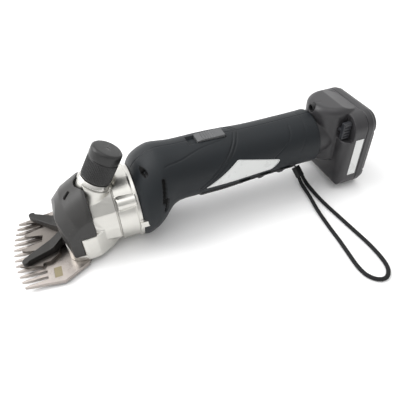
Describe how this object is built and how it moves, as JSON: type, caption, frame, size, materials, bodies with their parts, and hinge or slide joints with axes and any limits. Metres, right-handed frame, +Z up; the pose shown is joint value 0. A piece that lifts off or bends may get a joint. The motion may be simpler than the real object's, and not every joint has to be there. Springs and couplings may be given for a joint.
{
  "type": "sheep shears",
  "caption": "Cordless sheep shears with a toothed comb and cutter, tension knob, bright gear case, motor handle, slide-on battery and wrist strap.",
  "frame": {"origin": "under the middle of the shears (without the wrist strap), on the surface they rest on", "axes": "+X from the comb to the battery, +Z up, +Y to the left when looking along +X"},
  "size_m": [0.334, 0.1848, 0.0967],
  "materials": {
    "blade_steel": "ground steel",
    "fork_steel": "dark forged steel",
    "bright_steel": "machined steel",
    "screw_steel": "black oxide",
    "cast_alloy": "polished casting",
    "cover_plastic": "dark grey satin",
    "knob_plastic": "black satin",
    "ring_chrome": "plated",
    "gear_bronze": "sintered",
    "handle_plastic": "blue-black satin",
    "grip_rubber": "soft overmould",
    "label_paper": "blank printed film",
    "slider_plastic": "mid grey",
    "black_plastic": "moulded",
    "motor_steel": "plated can",
    "magnet": "ferrite",
    "copper": "copper",
    "contact_brass": "plated brass",
    "wire": "insulated wire",
    "battery_plastic": "dark grey satin",
    "latch_plastic": "dark grey",
    "cell_wrap": "shrink wrap",
    "board": "circuit board",
    "strap_cord": "braided nylon",
    "strap_string": "thin cord"
  },
  "bodies": {
    "handpiece": {"comb": "blade_steel", "comb_screws": "screw_steel", "pivot_post": "bright_steel", "tension_sleeve": "ring_chrome", "head_casting": "cast_alloy", "head_cover": "cover_plastic", "gear_case": "cast_alloy", "gear_case_screws": "screw_steel", "bearing_outer_rings": "bright_steel", "bearing_balls": "ring_chrome", "motor_bracket": "cast_alloy", "motor_can": "motor_steel", "motor_magnets": "magnet", "motor_endcap": "black_plastic", "motor_brushes": "copper", "motor_screws": "screw_steel", "housing_near": "handle_plastic", "housing_far": "handle_plastic", "housing_screws": "screw_steel", "finger_grip": "grip_rubber", "rating_label": "label_paper", "switch_body": "black_plastic", "terminal_block": "black_plastic", "terminal_blades": "contact_brass", "wiring": "wire", "strap_lug": "black_plastic", "strap_string": "strap_string", "strap_ferrule": "black_plastic", "wrist_strap": "strap_cord"},
    "crank": {"crank_shaft": "bright_steel", "crank_roller": "gear_bronze", "bearing_inner_rings": "bright_steel", "drive_gear": "gear_bronze"},
    "fork_and_cutter": {"fork": "fork_steel", "cutter": "blade_steel", "fork_pins": "bright_steel"},
    "rotor": {"motor_shaft": "bright_steel", "armature": "copper", "pinion": "bright_steel"},
    "pressure_pin": {"tension_pin": "bright_steel", "tension_spring": "bright_steel"},
    "knob": {"tension_knob": "knob_plastic"},
    "slider": {"switch_slider": "slider_plastic"},
    "battery": {"battery_shell": "battery_plastic", "battery_base": "battery_plastic", "battery_cells": "cell_wrap", "cell_links": "contact_brass", "battery_board": "board", "battery_contacts": "contact_brass", "charging_socket": "black_plastic", "battery_label": "label_paper", "battery_screws": "screw_steel"},
    "near_latch": {"latch_near": "latch_plastic", "latch_spring_near": "bright_steel"},
    "far_latch": {"latch_far": "latch_plastic", "latch_spring_far": "bright_steel"}
  },
  "joints": [
    {"name": "crank_turn", "type": "hinge", "parent": "handpiece", "child": "crank", "pos_m": [-0.057, 0, 0.032], "axis": [1, 0, 0], "range_deg": [0, 180]},
    {"name": "fork_swing", "type": "hinge", "parent": "handpiece", "child": "fork_and_cutter", "pos_m": [-0.099, 0, 0.018], "axis": [0, 0, 1], "range_deg": [0, 20]},
    {"name": "rotor_turn", "type": "hinge", "parent": "handpiece", "child": "rotor", "pos_m": [-0.017, 0, 0.052], "axis": [1, 0, 0], "range_deg": [-420, 0]},
    {"name": "knob_lift", "type": "slide", "parent": "handpiece", "child": "pressure_pin", "axis": [0.5105, 0, 0.8599], "range_m": [0, 0.00125]},
    {"name": "knob_turn", "type": "hinge", "parent": "pressure_pin", "child": "knob", "pos_m": [-0.0836, 0, 0.0664], "axis": [0.5105, 0, 0.8599], "range_deg": [0, 360]},
    {"name": "switch_slide", "type": "slide", "parent": "handpiece", "child": "slider", "axis": [-1, 0, 0], "range_m": [0, 0.007]},
    {"name": "battery_slide", "type": "slide", "parent": "handpiece", "child": "battery", "axis": [1, 0, 0], "range_m": [0, 0.045]},
    {"name": "near_latch_press", "type": "slide", "parent": "battery", "child": "near_latch", "axis": [0, 1, 0], "range_m": [0, 0.0025], "stiffness_N_per_m": 400, "springref_m": -0.001},
    {"name": "far_latch_press", "type": "slide", "parent": "battery", "child": "far_latch", "axis": [0, -1, 0], "range_m": [0, 0.0025], "stiffness_N_per_m": 400, "springref_m": -0.001}
  ],
  "couplings": [
    {"joint": "fork_swing", "follows": "crank_turn", "ratio": 0.11111},
    {"joint": "rotor_turn", "follows": "crank_turn", "ratio": -2.3333},
    {"joint": "knob_turn", "follows": "knob_lift", "rad_per_m": 5026.5}
  ]
}
